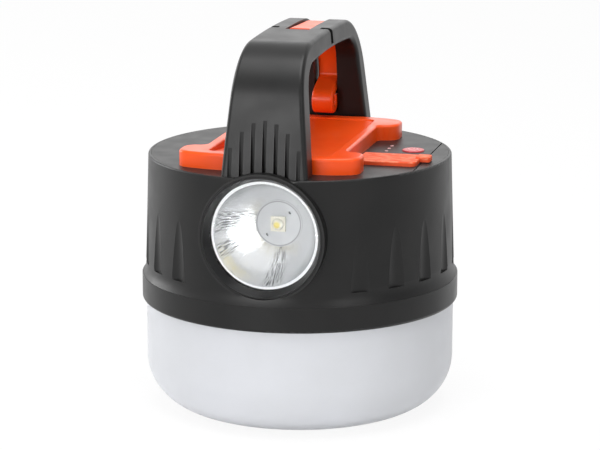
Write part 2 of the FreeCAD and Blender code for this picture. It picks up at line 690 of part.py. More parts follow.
spot_reflector = spot_body("spot_reflector")
turned(spot_reflector, sketch(spot_reflector, "YZ_Plane", "cup_outline", [[
    ("reflector_front", "reflector_rim", "reflector_bulge"), ("star_front", "reflector_hole"),
    ("star_front", "reflector_hole + reflector_wall", "-reflector_bulge"),
    ("reflector_seat", "cup_bore - fit_gap"), ("reflector_seat", "lens_radius"),
    ("reflector_front", "lens_radius")]]), "H_Axis")

star = rod("star_blank", ("0", "star_front", "snout_height"), "star_radius", "star_thickness", "y")
star_holes = [rod("star_hole_%d" % number, ("%d * star_hole_reach" % side, "star_front - 1",
                                            "snout_height + %d * star_hole_reach" % side),
                  "star_hole_radius", "star_thickness + 2 * cut_over", "y") for number, side in enumerate((-1, 1))]
spot_led_board = node(less("spot_led_board", star, star_holes), "spot_led_board")

chip = block("spot_chip",
             ("-spot_chip_width / 2", "star_front - spot_chip_height", "snout_height - spot_chip_width / 2"),
             ("spot_chip_width / 2", "star_front", "snout_height + spot_chip_width / 2"))
chip_dome = doc.addObject("Part::Sphere", "chip_dome")
bind(chip_dome, "Radius", "spot_dome_radius")
move_to(chip_dome, "0", "star_front - spot_chip_height", "snout_height")
behind_board = block("behind_board", ("-star_radius", "star_front", "snout_height - star_radius"),
                     ("star_radius", "star_front + 2 * star_radius", "snout_height + star_radius"))
spot_led = node(less("spot_led", joined("chip_and_dome", [chip, chip_dome]), [behind_board]), "spot_led")

sink_pieces = [rod("sink_plate_disc", ("0", "star_back", "snout_height"), "sink_radius", "sink_plate", "y")]
for number in (-2, -1, 0, 1, 2):
    middle = "%d * sink_fin_pitch" % number
    reach = "sqrt(sink_radius^2 - (abs(%s) + sink_fin_thickness / 2)^2)" % middle
    sink_pieces.append(block("sink_fin_%d" % (number + 2),
                             ("%s - sink_fin_thickness / 2" % middle, "star_back", "snout_height - %s" % reach),
                             ("%s + sink_fin_thickness / 2" % middle, "sink_back + sink_fin_depth",
                              "snout_height + %s" % reach)))
spot_heatsink = node(joined("spot_heatsink", sink_pieces), "spot_heatsink")

# Deck, with its openings and the posts of the main board under it

SOCKETS = [("usb", "usb_along"), ("charge", "charge_along")]


def around(x, y, length, width):
    """A rectangle given by its middle and its sides."""
    return rectangle("%s - (%s) / 2" % (x, length), "%s - (%s) / 2" % (y, width),
                     "%s + (%s) / 2" % (x, length), "%s + (%s) / 2" % (y, width))


def board_post_places():
    return [(x, y) for x in ("board_inside + board_post_inset_x", "board_outside - board_post_inset_x")
            for y in ("board_half - board_post_inset_y", "board_post_inset_y - board_half")]


def light_places():
    return [("light_x", "light_y + %d * light_pitch" % number) for number in range(whole("light_count"))]


top_deck = new_body("top_deck", "deck_under")
raised(top_deck, sketch(top_deck, "XY_Plane", "deck_outline", circles=[("0", "0", "deck_radius")]),
       "deck_thickness")
brow_half = "sqrt(snout_radius^2 - (deck_under - snout_height)^2) + moving_gap"
lens_half = "sqrt((lens_radius + fit_gap)^2 - (deck_under - snout_height)^2) + moving_gap"
mouths = [around("socket_centre", along, "%s_length - 2 * %s_wall" % (kind, kind),
                 "%s_width - 2 * %s_wall" % (kind, kind)) for kind, along in SOCKETS]
sunk(top_deck, sketch(top_deck, "XY_Plane", "deck_openings", mouths + [
    rectangle("-(%s)" % brow_half, "-2 * deck_radius", brow_half, "brow_back + fit_gap"),
    rectangle("cover_hinge - cover_thickness / 2 - fit_gap - root_width", "cover_middle - root_half",
              "cover_hinge - cover_thickness / 2 - fit_gap", "cover_middle + root_half")],
    [("button_x", "button_y", "button_radius + fit_gap")]
    + [(x, y, "light_radius + running_gap") for x, y in light_places()]
    + [(x, y, "screw_hole") for x, y in corners("deck_post_across", "deck_post_along")]
    + [(x, y, "screw_hole") for x, y in corners("handle_screw_across", "handle_screw_along")]
    + [(x, y, "peg_radius + running_gap") for x, y in corners("peg_across", "peg_along")]), both=True)
sunk(top_deck, sketch(top_deck, "XY_Plane", "lens_notch", [
    rectangle("-(%s)" % lens_half, "-2 * deck_radius", lens_half, "reflector_seat + cup_notch")]), both=True)
sunk(top_deck, sketch(top_deck, "XY_Plane", "socket_recess", [rectangle(
    "cover_hinge + cover_lip_inset - moving_gap", "cover_front + cover_lip_inset - moving_gap",
    "cover_end - cover_lip_inset + moving_gap", "cover_back - cover_lip_inset + moving_gap")],
    lift="deck_thickness"), "recess_depth")
sunk(top_deck, sketch(top_deck, "XY_Plane", "scribed_line", [rectangle(
    "chord_groove - groove_width / 2", "-deck_radius", "chord_groove + groove_width / 2", "deck_radius")],
    lift="deck_thickness"), "groove_width")
sunk(top_deck, sketch(top_deck, "XY_Plane", "screw_seats", circles=[
    (x, y, "head_hole") for x, y in corners("deck_post_across", "deck_post_along")],
    lift="deck_thickness"), "screw_head_height")
raised(top_deck, sketch(top_deck, "XY_Plane", "board_posts", circles=[
    (x, y, "board_post_radius") for x, y in board_post_places()]), "deck_under - board_top", reverse=True)
sunk(top_deck, sketch(top_deck, "XY_Plane", "board_post_holes", circles=[
    (x, y, "screw_hole") for x, y in board_post_places()], lift="board_top - deck_under"),
    "board_screw_length - board_thickness + screw_spare", reverse=True)

group("deck_screws", [screw("deck_screw_%d" % number, x, y, "deck_top - screw_head_height",
                            "deck_screw_length", False)
                      for number, (x, y) in enumerate(corners("deck_post_across", "deck_post_along"))])

# Handle

handle = new_body("handle")
raised(handle, sketch(handle, "YZ_Plane", "handle_outline", [[
    ("handle_foot_outer", "deck_top"), ("shoulder_y", "handle_shoulder", "-handle_crown"),
    ("-shoulder_y", "handle_shoulder", "-leg_bow"), ("-handle_foot_outer", "deck_top"),
    ("-handle_foot_inner", "deck_top"), ("-inner_y", "inner_shoulder", "handle_crown"),
    ("inner_y", "inner_shoulder"), ("handle_foot_inner", "deck_top")]]), "2 * handle_foot_half", both=True)


def across(edge, y, z):
    """True for an edge along X at a place, on either leg."""
    box = edge.BoundBox
    return box.YLength + box.ZLength < 1e-4 and near(abs(box.YMin), y) and near(box.ZMin, z)


rounded(handle, "front_shoulder", "handle_front_round",
        lambda edge: across(edge, "shoulder_y", "handle_shoulder") and edge.BoundBox.YMin < 0)
rounded(handle, "rear_shoulder", "handle_rear_round",
        lambda edge: across(edge, "shoulder_y", "handle_shoulder") and edge.BoundBox.YMin > 0)
rounded(handle, "handle_inner_shoulders", "handle_inner_round",
        lambda edge: across(edge, "inner_y", "inner_shoulder"))
above = "handle_top + handle_bar"
above_half = "handle_top_half - handle_taper * handle_bar"
sunk(handle, sketch(handle, "XZ_Plane", "handle_sides", [[
    ("%d * handle_foot_half" % side, "deck_top"), ("%d * handle_foot_half * 2" % side, "deck_top"),
    ("%d * handle_foot_half * 2" % side, above), ("%d * (%s)" % (side, above_half), above)]
    for side in (1, -1)]), both=True)


def on_side(edge):
    """True for an edge of the handle that lies on one of its sloping sides, above the deck."""
    slope = value("handle_taper")
    for corner in edge.Vertexes:
        half = value("handle_foot_half") - slope * (corner.Z - value("deck_top"))
        if abs(abs(corner.X) - half) > 1e-3:
            return False
    same_side = edge.BoundBox.XMin * edge.BoundBox.XMax > 0
    return same_side and not level(edge, "deck_top")


rounded(handle, "handle_edges", "handle_edge_round", on_side)
sunk(handle, sketch(handle, "YZ_Plane", "hook_slot", [[
    ("-slot_front", "pin_height - slot_sweep"), ("0", "pin_height - slot_sweep", "-corner_sag * slot_sweep"),
    ("slot_sweep", "pin_height"), ("slot_sweep", above), ("-slot_front", above)]]), "2 * slot_half", both=True)
sunk(handle, sketch(handle, "XZ_Plane", "pin_notches", [
    rectangle("%d * notch_inside" % side, "pin_height - notch_below", "%d * handle_foot_half" % side, above)
    for side in (1, -1)]), "notch_width", both=True)
sunk(handle, sketch(handle, "YZ_Plane", "pin_hole", circles=[
    ("0", "pin_height", "pin_radius + running_gap / 2")]), "2 * notch_inside + cut_over", both=True)
grooves = []
for number in range(whole("rib_count")):
    middle = "(%d - (rib_count - 1) / 2) * rib_pitch" % number
    bottom = "-rib_floor - (%s)^2 / rib_arch" % middle
    grooves.append(rectangle("%s - rib_groove / 2" % middle, "-2 * handle_foot_outer",
                             "%s + rib_groove / 2" % middle, bottom))
sunk(handle, sketch(handle, "XY_Plane", "front_leg_grooves", grooves), both=True)
sunk(handle, sketch(handle, "XY_Plane", "handle_screw_holes", circles=[
    (x, y, "screw_hole") for x, y in corners("handle_screw_across", "handle_screw_along")], lift="deck_top"),
    "handle_screw_length - deck_thickness + screw_spare", reverse=True)

group("handle_screws", [screw("handle_screw_%d" % number, x, y, "deck_under", "handle_screw_length", True)
                        for number, (x, y) in enumerate(corners("handle_screw_across", "handle_screw_along"))])

# Hook and its pin

node(rod("hook_pin", ("-pin_half", "0", "pin_height"), "pin_radius", "2 * pin_half", "x"), "hook_pin")


def bent_path(drawing, points, radii):
    """Straight runs joined by tangent arcs, one radius for each inner point."""
    spots = [Vector(y, z, 0) for y, z in points]
    last = spots[0]
    for before, corner, after, radius in zip(spots, spots[1:], spots[2:], radii):
        inward = (before - corner).normalize()
        outward = (after - corner).normalize()
        half = inward.getAngle(outward) / 2
        bisector = (inward + outward).normalize()
        start = corner + inward * (radius / math.tan(half))
        end = corner + outward * (radius / math.tan(half))
        middle = corner + bisector * (radius / math.sin(half) - radius)
        drawing.addGeometry(Part.LineSegment(last, start))
        drawing.addGeometry(Part.Arc(start, middle, end))
        last = end
    drawing.addGeometry(Part.LineSegment(last, spots[-1]))
    doc.recompute()
    return ["Edge%d" % number for number in range(1, drawing.GeometryCount + 1)]


carry_hook = new_body("carry_hook")
strip = sketch(carry_hook, "XZ_Plane", "strip_section", [[
    ("hook_half", "hook_line - hook_thickness / 2 + hook_edge_round"),
    ("hook_half", "hook_line + hook_thickness / 2 - hook_edge_round", "-corner_sag * hook_edge_round"),
    ("hook_half - hook_edge_round", "hook_line + hook_thickness / 2"),
    ("hook_edge_round - hook_half", "hook_line + hook_thickness / 2", "-corner_sag * hook_edge_round"),
    ("-hook_half", "hook_line + hook_thickness / 2 - hook_edge_round"),
    ("-hook_half", "hook_line - hook_thickness / 2 + hook_edge_round", "-corner_sag * hook_edge_round"),
    ("hook_edge_round - hook_half", "hook_line - hook_thickness / 2"),
    ("hook_half - hook_edge_round", "hook_line - hook_thickness / 2", "-corner_sag * hook_edge_round")]])
shoulder_line = value("handle_shoulder - hook_depth")
shoulder_corner = value("leg_line - handle_lean * (handle_shoulder - hook_depth - deck_top)")
bend_z = value("handle_shoulder - hook_bend")
bend_y = value("leg_line - handle_lean * (handle_shoulder - hook_bend - deck_top)")
curl_y = bend_y - value("curl_reach")
curl_z = bend_z - value("curl_drop")
curl_foot = curl_z - value("curl_height")
curl_back = curl_y + value("curl_lean + curl_width")
route = [(0, value("hook_line")), (shoulder_corner, shoulder_line), (bend_y, bend_z), (curl_y, curl_z),
         (curl_y + value("curl_lean"), curl_foot), (curl_back, curl_foot),
         (curl_back, curl_foot + value("curl_tip"))]
spine = sketch(carry_hook, "YZ_Plane", "strip_route")
spine_edges = bent_path(spine, route, [value("handle_rear_round - hook_depth")]
                        + [value("curl_round")] * (len(route) - 3))
swept = carry_hook.newObject("PartDesign::AdditivePipe", "strip_swept")
swept.Profile = strip
swept.Spine = (spine, spine_edges)
doc.recompute()
raised(carry_hook, sketch(carry_hook, "YZ_Plane", "hook_eye", circles=[
    ("0", "pin_height", "hook_boss_radius")]), "2 * (slot_half - fit_gap)", both=True)
sunk(carry_hook, sketch(carry_hook, "YZ_Plane", "hook_eye_hole", circles=[
    ("0", "pin_height", "pin_radius + running_gap")]), both=True)

# Tray between the handle's legs

handle_tray = new_body("handle_tray", "deck_top")
raised(handle_tray, sketch(handle_tray, "XY_Plane", "tray_outline", [[
    ("-ear_left", "-ear_tip", "-left_bow"), ("-handle_foot_half", "-tray_along"),
    ("handle_foot_half", "-tray_along", "-right_bow"), ("ear_end", "-ear_tip"), ("ear_end", "-ear_start"),
    ("tray_half", "-ear_start"), ("tray_half", "ear_start"), ("ear_end", "ear_start"),
    ("ear_end", "ear_tip", "-right_bow"), ("handle_foot_half", "tray_along"),
    ("-handle_foot_half", "tray_along", "-left_bow"), ("-ear_left", "ear_tip"), ("-ear_left", "ear_start"),
    ("-tray_left", "ear_start"), ("-tray_left", "-ear_start"), ("-ear_left", "-ear_start")]]), "tray_height")


def at_side(edge, right, left):
    """True for an upright edge at one place on the right, or at another on the left."""
    x = edge.BoundBox.XMin
    return upright(edge) and near(abs(x), right if x > 0 else left)


rounded(handle_tray, "ear_corners", "ear_round",
        lambda edge: at_side(edge, "ear_end", "ear_left"))
rounded(handle_tray, "ear_roots", "ear_root_round",
        lambda edge: at_side(edge, "tray_half", "tray_left") and near(abs(edge.BoundBox.YMin), "ear_start"))
sunk(handle_tray, sketch(handle_tray, "YZ_Plane", "tray_dish", [[
    ("-dish_along", "2 * tray_height"), ("-dish_along", "tray_height - dish_depth + dish_sag", "-dish_sag"),
    ("dish_along", "tray_height - dish_depth + dish_sag"), ("dish_along", "2 * tray_height")]],
    lift="-tray_wider / 2"), "2 * (tray_half - tray_rim) + tray_wider", both=True)
rounded(handle_tray, "dish_corners", "dish_round",
        lambda edge: upright(edge) and near(abs(edge.BoundBox.YMin), "dish_along"))
rounded(handle_tray, "tray_edges", "tray_edge_round", lambda edge: level(edge, "tray_height"))
raised(handle_tray, sketch(handle_tray, "XY_Plane", "tray_pegs", circles=[
    (x, y, "peg_radius") for x, y in corners("peg_across", "peg_along")]), "deck_thickness", reverse=True)

# Rubber cover with its pull tab, and its trapped end at the living hinge

usb_cover = new_body("usb_cover", "deck_top")
raised(usb_cover, sketch(usb_cover, "XY_Plane", "cover_outline", [rectangle(
    "cover_hinge", "cover_front", "cover_end", "cover_back")]), "cover_thickness")
rounded(usb_cover, "cover_corners", "cover_corner",
        lambda edge: upright(edge) and near(edge.BoundBox.XMin, "cover_end"))
rounded(usb_cover, "cover_top_edges", "cover_edge_round",
        lambda edge: level(edge, "cover_thickness") and not near(edge.BoundBox.XMax, "cover_hinge"))
raised(usb_cover, sketch(usb_cover, "XY_Plane", "tab_outline", [rectangle(
    "cover_end - tab_root", "tab_back - 2 * tab_half", "cover_end + tab_length", "tab_back")],
    lift="tab_rise"), "tab_thickness")
rounded(usb_cover, "tab_corners", "tab_corner",
        lambda edge: upright(edge) and near(edge.BoundBox.XMin, "cover_end + tab_length"))
rounded(usb_cover, "tab_top_edges", "cover_edge_round",
        lambda edge: level(edge, "tab_rise + tab_thickness"))
raised(usb_cover, sketch(usb_cover, "XZ_Plane", "hinge_roll", circles=[
    ("cover_hinge", "cover_thickness / 2", "cover_thickness / 2")], lift="-cover_middle"),
    "2 * root_half - 2 * moving_gap", both=True)
raised(usb_cover, sketch(usb_cover, "XY_Plane", "cover_plug", [rectangle(
    "cover_hinge + cover_lip_inset", "cover_front + cover_lip_inset", "cover_end - cover_lip_inset",
    "cover_back - cover_lip_inset")]), "cover_lip", reverse=True)

root_right = "cover_hinge - cover_thickness / 2 - fit_gap"
root_stem = block("root_stem", ("%s - root_width" % root_right, "cover_middle - root_half", "deck_under"),
                  (root_right, "cover_middle + root_half", "deck_top + cover_thickness / 2"))
root_end = block("root_end", ("%s - root_width - root_barb" % root_right, "cover_middle - root_half",
                              "deck_under - root_barb"),
                 ("%s + root_barb" % root_right, "cover_middle + root_half", "deck_under"))
node(joined("usb_cover_root", [root_stem, root_end]), "usb_cover_root")

# Main board and what stands on it

board_blank = block("board_blank", ("board_inside", "-board_half", "board_height"),
                    ("board_outside", "board_half", "board_top"))
board_holes = [rod("board_hole_%d" % number, (x, y, "board_height - 1"), "screw_hole", "board_thickness + 2")
               for number, (x, y) in enumerate(board_post_places())]
node(less("main_board", board_blank, board_holes), "main_board")
group("board_screws", [screw("board_screw_%d" % number, x, y, "board_height", "board_screw_length", True)
                       for number, (x, y) in enumerate(board_post_places())])


def socket(kind, along, label):
    """A socket that opens upwards: a metal shell, closed at the board, with a tongue in it."""
    half_long = "%s_length / 2" % kind
    half_wide = "%s_width / 2" % kind
    wall = "%s_wall" % kind
    shell = block(label + "_shell", ("socket_centre - " + half_long, "%s - %s" % (along, half_wide), "board_top"),
                  ("socket_centre + " + half_long, "%s + %s" % (along, half_wide), "deck_under"))
    space = block(label + "_space", ("socket_centre - %s + %s" % (half_long, wall),
                                     "%s - %s + %s" % (along, half_wide, wall), "board_top + socket_back"),
                  ("socket_centre + %s - %s" % (half_long, wall),
                   "%s + %s - %s" % (along, half_wide, wall), "deck_under + 1"))
    tongue = block(label + "_tongue", ("socket_centre - %s + 2 * %s" % (half_long, wall),
                                       "%s - %s_tongue / 2" % (along, kind), "board_top"),
                   ("socket_centre + %s - 2 * %s" % (half_long, wall),
                    "%s + %s_tongue / 2" % (along, kind), "deck_under - 2 * %s" % wall))
    return node(joined(label, [less(label + "_hollow", shell, [space]), tongue]), label)


socket("usb", "usb_along", "usb_a_socket")
socket("charge", "charge_along", "charge_socket")

power_button = new_body("power_button")
bind(power_button, "Placement.Base.x", "button_x")
bind(power_button, "Placement.Base.y", "button_y")
turned(power_button, sketch(power_button, "XZ_Plane", "button_outline", [[
    ("0", "stem_bottom"), ("button_stem_radius", "stem_bottom"),
    ("button_stem_radius", "collar_top - button_collar_height"),
    ("button_collar", "collar_top - button_collar_height"), ("button_collar", "collar_top"),
    ("button_radius", "collar_top"), ("button_radius", "deck_top + button_proud"),
    ("0", "deck_top + button_proud")]]), "V_Axis")
rounded(power_button, "button_edge", "button_round",
        lambda edge: level(edge, "deck_top + button_proud") and edge.Length > 1)

switch_case = block("switch_case", ("button_x - switch_width / 2", "button_y - switch_width / 2", "board_top"),
                    ("button_x + switch_width / 2", "button_y + switch_width / 2", "board_top + switch_height"))
plunger = rod("plunger", ("button_x", "button_y", "board_top"), "switch_plunger",
              "switch_height + switch_plunger_height")
node(joined("power_switch", [switch_case, plunger]), "power_switch")

guides = [rod("guide_%d" % number, (x, y, "board_top + light_chip_height + fit_gap"), "light_radius",
              "deck_top - board_top - light_chip_height")
          for number, (x, y) in enumerate(light_places())]
guide_bar = block("guide_bar", ("light_x - light_bar", "light_y - light_pitch / 4", "deck_under - light_bar / 2"),
                  ("light_x", "light_y + (light_count - 0.75) * light_pitch", "deck_under"))
node(joined("level_light_guide", guides + [guide_bar]), "level_light_guide")
group("level_leds", [block("level_led_%d" % number,
                           ("%s - light_radius" % x, "%s - light_radius" % y, "board_top"),
                           ("%s + light_radius" % x, "%s + light_radius" % y, "board_top + light_chip_height"))
                     for number, (x, y) in enumerate(light_places())])

# Cells, cradle, tabs and leads

CELLS = [("front", "cell_middle - cell_pitch / 2"), ("rear", "cell_middle + cell_pitch / 2")]
for name, along in CELLS:
    label = "battery_cell_" + name
    node(rod(label, ("-cell_length / 2", along, "cell_height"), "cell_radius", "cell_length", "x"), label)
cradle_blank = block("cradle_blank", ("-cradle_half", "cell_middle - cradle_along", "floor_top"),
                     ("cradle_half", "cell_middle + cradle_along", "floor_top + cradle_height"))
hollows = [rod("cell_hollow_" + name, ("-cell_length", along, "cell_height"), "cell_radius + fit_gap",
               "2 * cell_length", "x") for name, along in CELLS]
node(less("battery_cradle", cradle_blank, hollows), "battery_cradle")
tab_low = "cell_middle - cell_pitch / 2 - tab_plate_height / 2"
tab_high = "cell_middle + cell_pitch / 2 + tab_plate_height / 2"
tab_bottom = "cell_height - tab_plate_height / 2"
tab_top = "cell_height + tab_plate_height / 2"
group("battery_tabs", [
    block("tab_left", ("-cell_length / 2 - tab_plate", tab_low, tab_bottom),
          ("-cell_length / 2", tab_high, tab_top)),
    block("tab_right", ("cell_length / 2", tab_low, tab_bottom),
          ("cell_length / 2 + tab_plate", tab_high, tab_top))])
group("battery_leads", [
    rod("battery_lead_%d" % number, ("lead_x", "cell_middle + %d * 2 * lead_radius" % number, "cell_height"),
        "lead_radius", "board_height - cell_height") for number in (0, 1)])
group("led_leads", [
    rod("led_lead_%d" % number, ("lamp_lead_x + %d * lead_radius" % side, "lamp_lead_y", "floor_bottom"),
        "lead_radius - running_gap", "board_height - floor_bottom") for number, side in enumerate((-1, 1))])
spot_lead_y = "star_front + star_thickness / 2"
spot_lead_x = "board_inside + 2 * lead_radius"
spot_lead_end = "board_post_inset_y + socket_back + screw_head_radius - board_half"
lead_runs = [
    rod("spot_lead_across", ("star_radius", spot_lead_y, "snout_height"), "lead_radius",
        "%s - star_radius" % spot_lead_x, "x"),
    rod("spot_lead_along", (spot_lead_x, spot_lead_y, "snout_height"), "lead_radius",
        "%s - (%s)" % (spot_lead_end, spot_lead_y), "y"),
    rod("spot_lead_up", (spot_lead_x, spot_lead_end, "snout_height"), "lead_radius",
        "board_height - snout_height")]
for number, along in enumerate((spot_lead_y, spot_lead_end)):
    bend = doc.addObject("Part::Sphere", "spot_lead_bend_%d" % number)
    bind(bend, "Radius", "lead_radius + running_gap")
    lead_runs.append(move_to(bend, spot_lead_x, along, "snout_height"))
node(joined("spot_lead", lead_runs), "spot_lead")

# Lamp board under the floor

lamp_blank = rod("lamp_blank", ("0", "0", "lamp_under"), "lamp_radius", "lamp_thickness")
lamp_holes = [rod("lamp_hole_%d" % number, (x, y, "lamp_under - 1"), "screw_hole", "lamp_thickness + 2")
              for number, (x, y) in enumerate(lamp_screw_places())]
node(less("led_board", lamp_blank, lamp_holes), "led_board")
group("led_board_screws", [screw("lamp_screw_%d" % number, x, y, "lamp_under", "lamp_screw_length", True)
                           for number, (x, y) in enumerate(lamp_screw_places())])
chips = []
for ring in range(1, whole("chip_rings") + 1):
    for number in range(ring * whole("chip_count")):
        angle = "(%d + 0.5) * 360 / (%d * chip_count)" % (number, ring)
        x, y = "%d * chip_ring * cos(%s)" % (ring, angle), "%d * chip_ring * sin(%s)" % (ring, angle)
        chips.append(block("chip_%d_%d" % (ring, number),
                           (x + " - chip_width / 2", y + " - chip_width / 2", "lamp_under - chip_height"),
                           (x + " + chip_width / 2", y + " + chip_width / 2", "lamp_under")))
group("led_chips", chips)

# Check everything, then write one file for each sub-part

doc.recompute()
for thing in doc.Objects:
    if "Invalid" in thing.State or "Error" in thing.State:
        raise RuntimeError("%s failed: %s" % (thing.Label, thing.State))
for piece in nodes:
    if piece.Shape.isNull() or not piece.Shape.isValid() or not piece.Shape.Solids:
        raise RuntimeError("%s has no valid solid" % piece.Label)
os.makedirs("parts", exist_ok=True)
for piece in nodes:
    piece.Shape.exportStep(os.path.join("parts", piece.Label + ".step"))
    print("%-20s %2d solids %10.1f mm3" % (piece.Label, len(piece.Shape.Solids), piece.Shape.Volume))
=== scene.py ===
import bpy
import math
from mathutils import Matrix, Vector


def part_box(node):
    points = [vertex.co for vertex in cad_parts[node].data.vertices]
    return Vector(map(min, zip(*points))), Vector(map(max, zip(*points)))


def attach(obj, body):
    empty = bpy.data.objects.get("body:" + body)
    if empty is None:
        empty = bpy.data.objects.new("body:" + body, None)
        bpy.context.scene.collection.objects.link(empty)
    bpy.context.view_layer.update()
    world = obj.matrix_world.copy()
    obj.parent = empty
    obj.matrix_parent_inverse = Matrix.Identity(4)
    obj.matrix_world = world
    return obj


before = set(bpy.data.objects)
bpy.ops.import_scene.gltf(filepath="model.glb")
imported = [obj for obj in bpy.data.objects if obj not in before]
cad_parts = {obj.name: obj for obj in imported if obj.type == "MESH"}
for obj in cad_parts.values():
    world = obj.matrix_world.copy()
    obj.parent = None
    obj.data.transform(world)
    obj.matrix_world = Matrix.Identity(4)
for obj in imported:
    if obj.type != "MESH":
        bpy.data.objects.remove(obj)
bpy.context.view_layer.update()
scene = bpy.context.scene


# Diffuser: a dome moulded in milky polycarbonate, on which the lantern stands. The collar ring holds its
# flange against the drum. The wall is even, so it scatters the light, and its skin is a soft satin.
class Wire:
    """A socket of a node tree. Sums that are written with it add Math nodes."""

    def __init__(self, tree, socket):
        self.tree = tree
        self.socket = socket

    def maths(self, operation, first, second):
        return self.tree.node("Math", {"operation": operation}, {0: first, 1: second})

    def __add__(self, other):
        return self.maths("ADD", self, other)

    def __radd__(self, other):
        return self.maths("ADD", other, self)

    def __sub__(self, other):
        return self.maths("SUBTRACT", self, other)

    def __rsub__(self, other):
        return self.maths("SUBTRACT", other, self)

    def __mul__(self, other):
        return self.maths("MULTIPLY", self, other)

    def __rmul__(self, other):
        return self.maths("MULTIPLY", other, self)


class Tree:
    """A node tree, with the one method by which nodes come into it."""

    def __init__(self, owner):
        owner.use_nodes = True
        self.nodes = owner.node_tree.nodes
        self.links = owner.node_tree.links

    def join(self, socket, amount):
        """Links a wire to the socket, or sets a plain value on it."""
        if isinstance(amount, Wire):
            self.links.new(amount.socket, socket)
        else:
            socket.default_value = amount

    def node(self, kind, settings, sockets, output=0):
        """A new node of that kind, with its settings and then its sockets. Gives back one output."""
        made = self.nodes.new("ShaderNode" + kind)
        for name, setting in settings.items():
            setattr(made, name, setting)
        for name, amount in sockets.items():
            self.join(made.inputs[name], amount)
        return Wire(self, made.outputs[output])

    def between(self, wire, low, high, start=0.0, end=1.0):
        """The wire, run smoothly from start at low to end at high."""
        limits = {"From Min": low, "From Max": high, "To Min": start, "To Max": end}
        return self.node("MapRange", {"interpolation_type": "SMOOTHSTEP"}, {"Value": wire, **limits})

    def mixed(self, mask, first, second):
        """The first colour where the mask is 0, and the second where it is 1."""
        return self.node("Mix", {"data_type": "RGBA"}, {0: mask, 6: first, 7: second}, 2)


class Finish(Tree):
    """A material with its plain values. What varies over the surface is fed to its shader."""

    MOST_NOISE = (0.3, 0.7)
    EDGE_LIMITS = (0.02, 0.30)
    EDGE_SAMPLES = 6

    def __init__(self, name, plain):
        self.material = bpy.data.materials.new(name)
        Tree.__init__(self, self.material)
        self.shader = self.nodes["Principled BSDF"]
        for socket, amount in plain.items():
            self.shader.inputs[socket].default_value = amount
        self.place = self.node("TexCoord", {}, {}, "Object")

    def feed(self, socket, wire):
        """Links a wire to the shader's socket of that name."""
        self.join(self.shader.inputs[socket], wire)

    def along(self, axis):
        """One coordinate of the surface, in metres."""
        return self.node("SeparateXYZ", {}, {0: self.place}, axis)

    def stretched(self, x, y, z):
        """The place on the surface, with each axis scaled."""
        return self.node("VectorMath", {"operation": "MULTIPLY"}, {0: self.place, 1: (x, y, z)})

    def grain(self, size, detail=2.0, place=None):
        """Noise whose spots are about that size in metres."""
        sockets = {"Vector": place or self.place, "Scale": 1.0 / size, "Detail": detail}
        return self.node("TexNoise", {}, sockets)

    def mottle(self, first, second, spot, detail=2.0, limits=None):
        """Two tones in spots of that size. Limits sharpen the change from one to the other."""
        mask = self.grain(spot, detail)
        if limits:
            mask = self.between(mask, *limits)
        return self.mixed(mask, first, second)

    def gloss(self, spot, smooth, dull, detail=2.0, limits=MOST_NOISE):
        """A roughness that wanders from smooth to dull, in spots of that size."""
        return self.between(self.grain(spot, detail), *limits, smooth, dull)

    def edges(self, reach):
        """1 along the sharp edges, which are worn and also carry a painted highlight, and 0 on the flat."""
        eased = self.node("Bevel", {"samples": self.EDGE_SAMPLES}, {"Radius": reach})
        flat = self.node("NewGeometry", {}, {}, "Normal")
        same = self.node("VectorMath", {"operation": "DOT_PRODUCT"}, {0: eased, 1: flat}, "Value")
        return self.between(1.0 - same, *self.EDGE_LIMITS)

    def relief(self, height, depth, strength):
        """A fine relief that is that deep, in metres."""
        sockets = {"Strength": strength, "Distance": depth, "Height": height}
        self.feed("Normal", self.node("Bump", {}, sockets))

    def pores(self, size, depth, strength, detail=2.0):
        """A relief of pores of that size and depth, in metres."""
        self.relief(self.grain(size, detail), depth, strength)

    def put_on(self, *names):
        """Gives the finish to those pieces of the frame."""
        for name in names:
            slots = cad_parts[name].data.materials
            slots.clear()
            slots.append(self.material)


OPAL_CLEAN = (0.565, 0.575, 0.605, 1.0)
OPAL_WARM = (0.545, 0.555, 0.58, 1.0)
opal = Finish("opal_dome", {
    "Subsurface Weight": 0.25,
    "Subsurface Radius": (1.0, 1.0, 1.0),
    "Subsurface Scale": 0.003,
    "IOR": 1.49,
    "Specular IOR Level": 0.35,
})
opal.feed("Base Color", opal.mottle(OPAL_CLEAN, OPAL_WARM, spot=0.030, detail=3.0, limits=(0.35, 0.70)))
opal.feed("Roughness", opal.gloss(spot=0.008, smooth=0.36, dull=0.46))
opal.pores(size=0.0008, depth=0.00002, strength=0.25, detail=3.0)
opal.put_on("diffuser")


# Drum, collar ring and bezel: moulded in black ABS with a fine spark-eroded grain. The ring is pushed up over
# the drum's spigot, against its flared foot, and the bezel is pressed into the mouth of the snout.
FLOW_SPOT = 0.022
DULL_SPOT = 0.009
DULL_SPAN = 0.06
EDGE_WEAR_AND_HIGHLIGHT_LIFT = 2.4
EDGE_WEAR_AND_HIGHLIGHT_SHARE = 0.55
WORN_POLISH = 0.08
WIDE_NOISE = (0.25, 0.75)


def moulded_black(name, dark, pale, pore, smooth, reach):
    """Black moulding with a fine grain, faint flow marks and smoother edges, paler from wear and a painted
    highlight.
    """
    finish = Finish(name, {"IOR": 1.5, "Specular IOR Level": 0.28})
    edge_wear_and_highlight = finish.edges(reach)
    skin = finish.mottle(dark, pale, spot=FLOW_SPOT, limits=Finish.MOST_NOISE)
    # The paler edges are partly wear and partly a painted highlight, where rounded edges would catch the
    # light.
    worn_and_highlit = tuple(EDGE_WEAR_AND_HIGHLIGHT_LIFT * shade for shade in pale[:3]) + (1.0,)
    finish.feed("Base Color", finish.mixed(EDGE_WEAR_AND_HIGHLIGHT_SHARE * edge_wear_and_highlight, skin, worn_and_highlit))
    uneven = finish.gloss(spot=DULL_SPOT, smooth=smooth, dull=smooth + DULL_SPAN, limits=WIDE_NOISE)
    finish.feed("Roughness", uneven - WORN_POLISH * edge_wear_and_highlight)
    finish.pores(size=pore, depth=0.00004, strength=0.25)
    return finish


